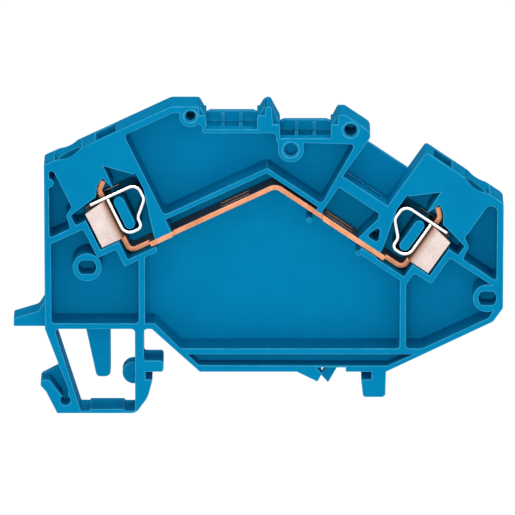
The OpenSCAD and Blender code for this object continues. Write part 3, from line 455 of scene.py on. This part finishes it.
# The mask of the painted shade on the far rail
PAINTED_SHADE_ATTRIBUTE = "painted_shade_rail"

spring_steel, tree, shader, place = new_finish("spring_steel")
lines = effect(tree, grain_group, stretched(tree, place, ALONG_SPRING), Scale=22000, Tone_Scale=5000)
# Edge wear and painted highlight on the steel
edge_wear_and_highlight = effect(tree, edge_wear_and_highlight_group, place, Scale=1800, Edge=mesh_value(tree, EDGE_ATTRIBUTE), Strength=0.5)
# Broad faces painted dark, as painted shade and reflection of the pockets
colour = mixed(tree, ranged(tree, lines["Tone"], 0, 1, *NOISE_SPREAD), STEEL_FACE_IN_PAINTED_SHADE, STEEL_PALE_IN_PAINTED_SHADE)
colour = mixed(tree, edge_wear_and_highlight["Mask"], colour, STEEL_EDGE_WEAR_AND_HIGHLIGHT)
colour = mixed(tree, mesh_value(tree, CUT_ATTRIBUTE), colour, STEEL_CUT)
# Painted shade on the far rail's edge
colour = mixed(tree, mesh_value(tree, PAINTED_SHADE_ATTRIBUTE), colour, STEEL_PAINTED_SHADE)
tree.links.new(colour, shader.inputs["Base Color"])
roughness = ranged(tree, lines["Height"], *STEEL_ROUGHNESS, *NOISE_SPREAD)
tree.links.new(roughness, shader.inputs["Roughness"])
shader.inputs["Metallic"].default_value = 1.0
bumped(tree, shader, lines["Height"], STEEL_BUMP, STEEL_BUMP_DEPTH)
print("finish:", spring_steel.name)

# %% [markdown]
# ## Edge radii on the solids
# A moulding and a stamping have no razor edges: each outer edge has a small radius, and that radius
# is what catches the light. The solids come as loose triangles with sharp edges. A copy is merged, its
# flat faces are joined, and a Bevel modifier turns each marked edge into a narrow rounded strip. The
# strips have a material slot of their own for the time being, so that they can be told from the faces.

# %% Mesh helpers
def array_of(items, name, width, kind=np.float64):
    """One property of all mesh items as an array of that width."""
    values = np.zeros(len(items) * width, kind)
    items.foreach_get(name, values)
    return values.reshape(-1, width)


def stored(mesh, name, values, domain="FACE"):
    """Stores one value per face, or per point, as a mesh attribute."""
    attribute = mesh.attributes.new(name, "FLOAT", domain)
    attribute.data.foreach_set("value", np.asarray(values, np.float32))


def with_modifiers(mesh, name, modifiers):
    """A copy of the mesh with modifiers applied in turn; each is (kind, its settings)."""
    carrier = bpy.data.objects.new(name, mesh)
    scene.collection.objects.link(carrier)
    for kind, settings in modifiers:
        modifier = carrier.modifiers.new(kind, kind)
        for key, value in settings.items():
            setattr(modifier, key, value)
    evaluated = carrier.evaluated_get(bpy.context.evaluated_depsgraph_get())
    result = bpy.data.meshes.new_from_object(evaluated)
    result.name = name
    bpy.data.objects.remove(carrier)
    return result


def corners_of(edges):
    """The corners at the ends of edges, each once and in the same order at every run."""
    return list(dict.fromkeys(corner for edge in edges for corner in edge.verts))


# %% Strips along outer edges
JOIN_DISTANCE = 0.06 * MM
PLAIN_ANGLE = math.radians(0.5)
SHARP_ANGLE = math.radians(35)
STRIP_FACETS = 2
STRIP_SLOT = 1
PROUD_LIMIT = 0.004 * MM


def joined(solid, name):
    """A copy of a solid's loose triangles, merged and with whole flat faces."""
    return with_modifiers(solid, name + "_joined", [
        ("WELD", {"merge_threshold": JOIN_DISTANCE}),
        ("DECIMATE", {"decimate_type": "DISSOLVE", "angle_limit": PLAIN_ANGLE}),
    ])


def mark_outer_edges(mesh):
    """Gives each outer edge sharper than SHARP_ANGLE a bevel weight, with large faces cut into triangles."""
    shape = bmesh.new()
    shape.from_mesh(mesh)
    bmesh.ops.triangulate(shape, faces=[face for face in shape.faces if len(face.verts) > 4])
    weight = shape.edges.layers.float.new("bevel_weight_edge")
    for edge in shape.edges:
        if edge.is_manifold and edge.is_convex and edge.calc_face_angle() > SHARP_ANGLE:
            edge[weight] = 1
    shape.to_mesh(mesh)
    shape.free()


def bevelled(mesh, name, radius):
    """A copy of the mesh in which each outer edge is a strip of that radius, in a slot of its own."""
    mark_outer_edges(mesh)
    mesh.materials.clear()
    for slot in ("face", "strip"):
        mesh.materials.append(bpy.data.materials.new(slot))
    return with_modifiers(mesh, name, [
        ("BEVEL", {"width": radius, "segments": STRIP_FACETS, "limit_method": "WEIGHT",
                   "use_clamp_overlap": False, "material": STRIP_SLOT}),
    ])


def put_back(shape, solid, surface):
    """Rounding an outer edge only takes material away, so a corner that the bevel throws out of the solid
    goes back to its surface, and no corner leaves its box. Returns how many went back."""
    spots = array_of(solid.vertices, "co", 3)
    low, high = spots.min(0), spots.max(0)
    moved = 0
    for corner in shape.verts:
        on_surface, outwards, _, _ = surface.find_nearest(corner.co)
        if (corner.co - on_surface).dot(outwards) > PROUD_LIMIT:
            corner.co = on_surface
            moved += 1
        corner.co = np.clip(corner.co, low, high)
    shape.normal_update()
    return moved


# %% [markdown]
# ## Flat faces, filled again
# A bevel moves the rims of each flat face inwards, and the long thin triangles between those rims then
# fold over each other and shade as stray wedges. So the triangles of a flat face are thrown away, and
# the area between its moved rims is filled anew: a constrained Delaunay net covers it, and a triangle of
# that net stays where its middle lies inside the rims.

# %% Flat faces
FLAT_LIMIT = 0.01 * MM
NET_LIMIT = FLAT_LIMIT / 1000
NET_OF_TRIANGLES = 1


def flat_regions(shape):
    """Lists of faces that lie in one plane and hang together, largest face first; strips are left out."""
    seen = set()
    for first in sorted(shape.faces, key=lambda face: -face.calc_area()):
        if first in seen or first.material_index == STRIP_SLOT:
            continue
        seen.add(first)
        origin = first.verts[0].co
        region = [first]
        for face in region:
            for other in (near for edge in face.edges for near in edge.link_faces):
                if other in seen or other.material_index == STRIP_SLOT:
                    continue
                if all(abs((v.co - origin).dot(first.normal)) < FLAT_LIMIT for v in other.verts):
                    seen.add(other)
                    region.append(other)
        yield region


def inside_rim(spots, starts, ends):
    """Which spots lie inside closed outlines: a line from a spot towards +x meets them an odd number of
    times. It meets an edge where x = x0 + (x1 - x0) (y - y0) / (y1 - y0), if y lies between y0 and y1."""
    rise = np.where(ends[:, 1] == starts[:, 1], 1, ends[:, 1] - starts[:, 1])
    between = (starts[None, :, 1] > spots[:, None, 1]) != (ends[None, :, 1] > spots[:, None, 1])
    part = (spots[:, None, 1] - starts[None, :, 1]) / rise[None, :]
    crossing = starts[None, :, 0] + part * (ends - starts)[None, :, 0]
    return (between & (crossing > spots[:, None, 0])).sum(1) % 2 == 1


def refill_flat(shape, region):
    """Replaces a flat region by new triangles between its rims. The rims are laid level, with x and y in the
    region's plane, for the net and the test of what lies inside."""
    origin = region[0].verts[0].co.copy()
    level = region[0].normal.to_track_quat("Z", "Y")
    members = set(region)
    edges = dict.fromkeys(edge for face in region for edge in face.edges)
    rim = [edge for edge in edges if sum(face in members for face in edge.link_faces) == 1]
    corners = corners_of(rim)
    number = {corner: k for k, corner in enumerate(corners)}
    flat = [(level.inverted() @ (corner.co - origin)).to_2d() for corner in corners]
    links = [tuple(number[corner] for corner in edge.verts) for edge in rim]
    net, _, triangles, sources, _, _ = delaunay_2d_cdt(flat, links, [], NET_OF_TRIANGLES, NET_LIMIT)
    bmesh.ops.delete(shape, geom=region, context="FACES_ONLY")
    places = [corners[source[0]] if source else shape.verts.new(origin + level @ spot.to_3d())
              for spot, source in zip(net, sources)]
    starts, ends = (np.array([flat[link[k]] for link in links]) for k in (0, 1))
    spots = np.array([np.mean([net[k] for k in triangle], axis=0) for triangle in triangles])
    for triangle, inside in zip(triangles, inside_rim(spots, starts, ends)):
        tips = [places[k] for k in triangle]
        if inside and shape.faces.get(tips) is None:
            shape.faces.new(tips)


# %% [markdown]
# ## Sewing
# A flat that was filled again has extra corners where its rims cross, so it doesn't share every corner
# with the strips beside it, and fine slits stay open. Each open edge is therefore split where the end of
# another lies on it, corners in one place are joined, and what is still open is filled. A mesh without
# slits is also a better result to use elsewhere.

# %% Sewing
SEW_LIMIT = 0.0003 * MM
HOLE_SIDES = 12
SPECK_FACES = 4
TWIST_LIMIT = 20


def open_edges(shape):
    """The edges with only one face."""
    return [edge for edge in shape.edges if edge.is_boundary]


def split_where_touched(shape):
    """Splits each open edge where the end of another open edge lies on it, within SEW_LIMIT."""
    edges = open_edges(shape)
    tips = corners_of(edges)
    tree = KDTree(len(tips))
    for k, tip in enumerate(tips):
        tree.insert(tip.co, k)
    tree.balance()
    for edge in edges:
        start, end = edge.verts
        run = end.co - start.co
        length = run.length
        if length < SEW_LIMIT:
            continue
        near = tree.find_range((start.co + end.co) / 2, length / 2)
        parts = [(spot - start.co).dot(run) / length ** 2 for spot, _, _ in near
                 if (spot - start.co).cross(run).length / length < SEW_LIMIT]
        done = 0
        for part in sorted(parts):
            if (part - done) * length > SEW_LIMIT and (1 - part) * length > SEW_LIMIT:
                _, start = bmesh.utils.edge_split(edge, start, (part - done) / (1 - done))
                done = part


def drop_specks(shape):
    """Deletes each group of at most SPECK_FACES faces that no edge of just two faces ties to the others."""
    seen = set()
    specks = []
    for first in shape.faces:
        if first in seen:
            continue
        seen.add(first)
        group = [first]
        for face in group:
            for other in (near for edge in face.edges if edge.is_manifold for near in edge.link_faces):
                if other not in seen:
                    seen.add(other)
                    group.append(other)
        if len(group) <= SPECK_FACES:
            specks += group
    bmesh.ops.delete(shape, geom=specks, context="FACES")


def sew(shape):
    """Joins the filled flats to the strips beside them, drops specks and fills the last small holes."""
    split_where_touched(shape)
    bmesh.ops.remove_doubles(shape, verts=corners_of(open_edges(shape)), dist=SEW_LIMIT)
    bmesh.ops.dissolve_degenerate(shape, dist=SEW_LIMIT / 2, edges=shape.edges[:])
    drop_specks(shape)
    bmesh.ops.holes_fill(shape, edges=open_edges(shape), sides=HOLE_SIDES)


def turn_outwards(shape, surface):
    """Turns all faces outwards together. Where tiny folds upset that, more than TWIST_LIMIT edges end up with
    faces that wind unlike each other; then each face is turned the way the solid looks there."""
    bmesh.ops.recalc_face_normals(shape, faces=shape.faces[:])
    if sum(not edge.is_contiguous for edge in shape.edges) <= TWIST_LIMIT:
        return
    shape.normal_update()
    for face in shape.faces:
        _, outwards, _, _ = surface.find_nearest(face.calc_center_median())
        if face.normal.dot(outwards) < 0:
            face.normal_flip()


# %% [markdown]
# ## A rounded piece
# One function takes a solid through all those steps. The strips end up with an attribute, which the
# finishes read to paint outer edges paler, partly as wear and partly as a painted highlight. A Weighted
# Normal modifier keeps the flat faces flat to the eye, and lets only the strips turn the light.

# %% Rounded copy of a solid
SHADED_ANGLE = math.radians(50)
PLAIN_FACES = 2


def rounded_mesh(solid, name, radius, loose_triangles=True):
    """The solid's mesh with each sharp outer edge made a strip of that radius. Where the solid is loose
    triangles, its flats of more than PLAIN_FACES faces are filled again and sewn to the strips."""
    result = bevelled(joined(solid, name) if loose_triangles else solid, name, radius)
    surface = BVHTree.FromPolygons([v.co for v in solid.vertices], [f.vertices for f in solid.polygons])
    shape = bmesh.new()
    shape.from_mesh(result)
    moved = put_back(shape, solid, surface)
    if loose_triangles:
        for region in [flat for flat in flat_regions(shape) if len(flat) > PLAIN_FACES]:
            refill_flat(shape, region)
        bmesh.ops.delete(shape, geom=[edge for edge in shape.edges if edge.is_wire], context="EDGES")
        sew(shape)
        turn_outwards(shape, surface)
    shape.normal_update()
    for edge in shape.edges:
        edge.smooth = edge.calc_face_angle(math.pi) < SHADED_ANGLE
    slits = len(open_edges(shape))
    shape.to_mesh(result)
    shape.free()
    strips = array_of(result.polygons, "material_index", 1, np.int32).ravel() == STRIP_SLOT
    stored(result, EDGE_ATTRIBUTE, strips)
    result.materials.clear()
    result.polygons.foreach_set("material_index", np.zeros(len(result.polygons), np.int32))
    result.polygons.foreach_set("use_smooth", np.ones(len(result.polygons), bool))
    print(name, "faces:", len(result.polygons), "of which strips:", int(strips.sum()),
          "corners put back:", moved, "open edges:", slits)
    return result


def finished_piece(mesh, finish):
    """An object at the origin with one finish; its flat faces stay flat where they meet a rounded strip."""
    mesh.materials.append(finish)
    mesh.update()
    piece = bpy.data.objects.new(mesh.name, mesh)
    scene.collection.objects.link(piece)
    normals = piece.modifiers.new("flat_faces_stay_flat", "WEIGHTED_NORMAL")
    normals.keep_sharp = True
    return piece


# %% [markdown]
# ## The housing
# One moulding with towers, ribs, sockets and feet. Its edges have a radius of about a tenth of a
# millimetre, which at this scale is the thin pale line along every wall in the picture.

# %% Housing
HOUSING_RADIUS = 0.13 * MM

housing_mesh = rounded_mesh(frame["nodes"]["housing"].data.copy(), "moulded_housing", HOUSING_RADIUS)
housing = finished_piece(housing_mesh, blue_moulding)
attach(housing, "block")
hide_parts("housing")

# %% [markdown]
# ## Where the clamps are
# Both clamps have their own axes: u runs down along the wire entry, and v runs across it, away from
# the wire. The record has them: a clamp opens against v, and a wire entry points against u.

# %% Clamp axes
def joint_axis(name):
    """The direction of a joint in the record, as an array."""
    return np.array(next(j["axis"] for j in record["behaviour"]["joints"] if j["name"] == name))


def mount_axis(name):
    """The direction of a mount in the record, as an array."""
    return np.array(next(m["axis"] for m in record["mounts"] if m["name"] == name))


# The spring strip's thickness, and how far its upper arm reaches past the fixed arm
STRIP_T = 0.45 * MM
ARM_REACH = 2.9 * MM


def clamp_axes(side):
    """(zero point, u direction, v direction) of a clamp; zero is where the arms of its spring cross."""
    down = -mount_axis(side + "_wire_entry")
    across = -joint_axis(side + "_clamp_open")
    spring = array_of(frame["nodes"][side + "_clamp_spring"].data.vertices, "co", 3)
    zero = down * ((spring @ down).min() + STRIP_T / 2) + across * ((spring @ across).min() + ARM_REACH)
    return zero, down, across


clamps = {side: clamp_axes(side) for side in ("left", "right")}
for side, (zero, down, across) in clamps.items():
    print(side, "clamp at", np.round(zero / MM, 2), "mm")

# %% [markdown]
# ## The current bar
# One copper strip, stamped and bent, with folded wings at both ends. Its solid has the right shape, so
# a rounded copy is enough. Each face is told apart by its direction: along the strip the cut edges
# look to the front and back, while on a folded wing the broad faces do, and its ends are the cut ones.

# %% Current bar
BAR_RADIUS = 0.06 * MM
# Where a wing ends in its clamp's axes, where it folds, and how much of the bar belongs to a clamp
WING_REACH = 4.2 * MM
WING_END_U = 7.1 * MM
FOLD_V = -0.25 * MM
CLAMP_REACH = 15 * MM
# Half the length and half the width of the zone with slots, whose inner faces are shaded
SLOT_ZONE = 16 * MM
SLOT_REACH = 1.3 * MM
SLOT_SHADE = 0.35
# A face looks along a direction where its normal's share of that direction is larger than this
FACING = 0.7

bar_mesh = rounded_mesh(frame["nodes"]["current_bar"].data.copy(), "bent_bar", BAR_RADIUS)
centres = array_of(bar_mesh.polygons, "center", 3)
normals = array_of(bar_mesh.polygons, "normal", 3)
bar_low, bar_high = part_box("current_bar")
bar_middle = (bar_low.y + bar_high.y) / 2
in_front = centres[:, 1] < bar_middle
in_slot = (np.abs(centres[:, 0]) < SLOT_ZONE) & (np.abs(centres[:, 1] - bar_middle) < SLOT_REACH)
cut = (np.abs(normals[:, 1]) > FACING) * np.where(in_slot, SLOT_SHADE, 1.0)
wing = np.zeros(len(cut), bool)
points = array_of(bar_mesh.vertices, "co", 3)
fold = np.zeros(len(points))
for zero, down, across in clamps.values():
    u = (centres - zero) @ down
    v = (centres - zero) @ across
    on_wing = (u > 0) & (u < WING_END_U) & (v > -WING_REACH - STRIP_T) & (v < FOLD_V)
    at_side = np.abs(normals @ down) > FACING
    at_tip = (normals @ across < -FACING) & (v < -WING_REACH + STRIP_T)
    cut = np.where(on_wing, (at_side | at_tip) & in_front, cut)
    # Only a wing's front faces keep the lit tin; the finish paints the other tin faces in shade
    wing = wing | (on_wing & in_front)
    beside = np.linalg.norm(points - zero, axis=1) < CLAMP_REACH
    fold = np.where(beside, -((points - zero) @ across) / MM, fold)
stored(bar_mesh, CUT_ATTRIBUTE, cut)
stored(bar_mesh, WING_ATTRIBUTE, wing)
stored(bar_mesh, FOLD_ATTRIBUTE, fold, "POINT")
bar = finished_piece(bar_mesh, tinned_copper)
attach(bar, "block")
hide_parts("current_bar")
print("cut faces:", int((cut > 0).sum()), "wing faces:", int(wing.sum()), "of", len(cut))

# %% [markdown]
# ## The clamp springs
# Each spring is one strip, bent into a loop: a fixed arm on the bar, a lower bend, a limb that kinks
# outwards, a top bend, and an upper arm with a window through which the fixed arm and the bar's hook
# pass. In a clamp that opens, the fixed arm stays while the upper arm is pushed over the wire, so the
# loop flexes. The strip is a profile carried along a path, and it is parted in the short straight run
# above the lower bend: the lower half is attached to the block, and the upper half is left as a piece
# of its own.

# %% The path of the strip
# Corners of the strip's mid-line in mm, from the tip of the upper arm: (u, v, radius of the bend)
SPRING_CORNERS = np.array([
    (0, -2.9, 0),
    (0, 5.15, 1.65),
    (2.75, 5.15, 1.3),
    (5.0, 2.9, 1.3),
    (6.75, 2.9, 1.45),
    (6.75, 0, 1.45),
    (0.305, 0, 0),
]) * MM
ARC_STEPS = 12
ARC_SHARE = 0.49
RUN_STEP = 0.25 * MM
LEAST_STEP = RUN_STEP / 3
WINDOW_START = 0.5 * MM
WINDOW_END = 5.065 * MM
LIMB_CORNER = 3


def corner_arc(before, corner, after, radius):
    """Points on the arc that rounds a corner. The arc leaves each side at the reach r / tan(half angle), cut
    to ARC_SHARE of the shorter side. About its centre, the point at part p of the sweep w is
    (first * sin((1 - p) w) + last * sin(p w)) / sin(w)."""
    back = before - corner
    onward = after - corner
    shorter = min(np.linalg.norm(back), np.linalg.norm(onward))
    back = back / np.linalg.norm(back)
    onward = onward / np.linalg.norm(onward)
    half_angle = math.acos(np.clip(back @ onward, -1, 1)) / 2
    reach = min(radius / math.tan(half_angle), ARC_SHARE * shorter)
    middle = (back + onward) / np.linalg.norm(back + onward)
    centre = corner + middle * reach / math.cos(half_angle)
    sweep = math.pi - 2 * half_angle
    part = np.linspace(0, 1, ARC_STEPS)[:, None]
    first = corner + back * reach - centre
    last = corner + onward * reach - centre
    return centre + (first * np.sin((1 - part) * sweep) + last * np.sin(part * sweep)) / math.sin(sweep)


def spring_path():
    """The strip's mid-line in (u, v) with its arc length, and the length at which it is parted."""
    flat = SPRING_CORNERS[:, :2]
    arcs = [corner_arc(flat[k - 1], flat[k], flat[k + 1], SPRING_CORNERS[k, 2])
            for k in range(1, len(flat) - 1)]
    points = np.concatenate([flat[:1], *arcs, flat[-1:]])
    length = np.concatenate([[0], np.cumsum(np.linalg.norm(np.diff(points, axis=0), axis=1))])
    limb_end = LIMB_CORNER * ARC_STEPS
    parting = length[limb_end:limb_end + 2].mean()
    extra = np.arange(0, length[-1], RUN_STEP)
    straight = np.abs(extra[:, None] - length[None, :]).min(1) > LEAST_STEP
    stations = np.unique(np.concatenate([length, extra[straight], [WINDOW_START, WINDOW_END, parting]]))
    line = np.stack([np.interp(stations, length, points[:, k]) for k in (0, 1)], axis=1)
    return line, stations, parting


path_line, path_length, parting_length = spring_path()
print("spring path:", len(path_line), "stations,", round(path_length[-1] / MM, 1), "mm long")

# %% The strip as a mesh
RAIL_W = 0.75 * MM
WINDOW_COLUMN = 2


def strip_mesh(name, zero, down, across, front, back):
    """A strip of thickness STRIP_T: point = zero + path(s) +- normal(s) * t / 2, at four widths y.
    Cells inside the window are left out, and a wall closes each side between a cell and no cell."""
    tangent = np.gradient(path_line, axis=0)
    tangent = tangent / np.linalg.norm(tangent, axis=1)[:, None]
    normal = np.stack([-tangent[:, 1], tangent[:, 0]], axis=1)
    widths = np.array([front, front + RAIL_W, back - RAIL_W, back])
    count, wide = len(path_line), len(widths)
    layers = np.stack([path_line + normal * STRIP_T / 2, path_line - normal * STRIP_T / 2])
    points = zero + layers[..., :1] * down + layers[..., 1:] * across
    points = np.repeat(points[:, :, None, :], wide, axis=2)
    points[..., 1] = widths
    index = np.arange(2 * count * wide).reshape(2, count, wide)
    middle = (path_length[1:] + path_length[:-1]) / 2
    solid = np.ones((count + 1, wide + 1), bool)
    solid[[0, -1], :] = False
    solid[:, [0, -1]] = False
    solid[1:-1, WINDOW_COLUMN] = (middle < WINDOW_START) | (middle > WINDOW_END)
    cell = solid[1:-1, 1:-1]
    faces = []
    for layer in index:
        quads = np.stack([layer[:-1, :-1], layer[1:, :-1], layer[1:, 1:], layer[:-1, 1:]], axis=-1)
        faces.append(quads[cell])
    ends = solid[1:, 1:-1] != solid[:-1, 1:-1]
    walls = np.stack([index[0, :, :-1], index[0, :, 1:], index[1, :, 1:], index[1, :, :-1]], axis=-1)
    faces.append(walls[ends])
    sides = solid[1:-1, 1:] != solid[1:-1, :-1]
    walls = np.stack([index[0, :-1], index[0, 1:], index[1, 1:], index[1, :-1]], axis=-1)
    faces.append(walls[sides])
    mesh = bpy.data.meshes.new(name)
    mesh.from_pydata(points.reshape(-1, 3), [], np.concatenate(faces).tolist())
    turned = bmesh.new()
    turned.from_mesh(mesh)
    bmesh.ops.recalc_face_normals(turned, faces=turned.faces)
    turned.to_mesh(mesh)
    turned.free()
    return mesh


# %% Parting the strip
def half_of(mesh, keep, name):
    """A copy of the mesh with only the kept faces, closed again with a flat face where it was parted."""
    half_mesh = bmesh.new()
    half_mesh.from_mesh(mesh)
    gone = [face for face, kept in zip(half_mesh.faces, keep) if not kept]
    bmesh.ops.delete(half_mesh, geom=gone, context="FACES")
    rim = [edge for edge in half_mesh.edges if edge.is_boundary]
    bmesh.ops.contextual_create(half_mesh, geom=rim)
    for edge in rim:
        edge.smooth = False
    bmesh.ops.recalc_face_normals(half_mesh, faces=half_mesh.faces)
    result = bpy.data.meshes.new(name)
    half_mesh.to_mesh(result)
    half_mesh.free()
    return result


# %% Clamp springs
SPRING_RADIUS = 0.05 * MM
ARM_TOP_U = 0.25 * MM
ARM_SIDE_V = 1.0 * MM
# How far across the painted shade on the far rail reaches
PAINTED_SHADE_END_V = 3.5 * MM

parting_u = np.interp(parting_length, path_length, path_line[:, 0])
for side, (zero, down, across) in clamps.items():
    node = side + "_clamp_spring"
    low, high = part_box(node)
    strip = strip_mesh(node + "_strip", zero, down, across, low.y, high.y)
    whole = rounded_mesh(strip, node + "_strip", SPRING_RADIUS, loose_triangles=False)
    stored(whole, CUT_ATTRIBUTE, np.abs(array_of(whole.polygons, "normal", 3)[:, 1]) > FACING)
    centres = array_of(whole.polygons, "center", 3)
    u = (centres - zero) @ down
    v = (centres - zero) @ across
    far = centres[:, 1] > (low.y + high.y) / 2
    # Paints shade on the far rail beside the window, deep in its pocket
    stored(whole, PAINTED_SHADE_ATTRIBUTE, far & (u < ARM_TOP_U) & (v < PAINTED_SHADE_END_V))
    fixed = (u > parting_u) | ((u > ARM_TOP_U) & (np.abs(v) < ARM_SIDE_V))
    arm = finished_piece(half_of(whole, fixed, side + "_fixed_arm"), spring_steel)
    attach(arm, "block")
    limb = finished_piece(half_of(whole, ~fixed, side + "_sprung_arm"), spring_steel)
    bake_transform(limb)
    for piece in (arm, limb):
        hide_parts(node)
    print(side, "spring:", len(arm.data.polygons), "fixed and", len(limb.data.polygons), "sprung faces")

# %% [markdown]
# ## The size, and the end
# The dressed part should fill the solids' box and no more, so both boxes are gathered side by side,
# and the dressed box is printed.

# %% Sizes and finish
dressed_low, dressed_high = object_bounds()
sizes = {"cad": [list(cad_low), list(cad_high)], "visual": [list(dressed_low), list(dressed_high)]}
print("box:", [[round(value / MM, 2) for value in corner] for corner in sizes["visual"]])
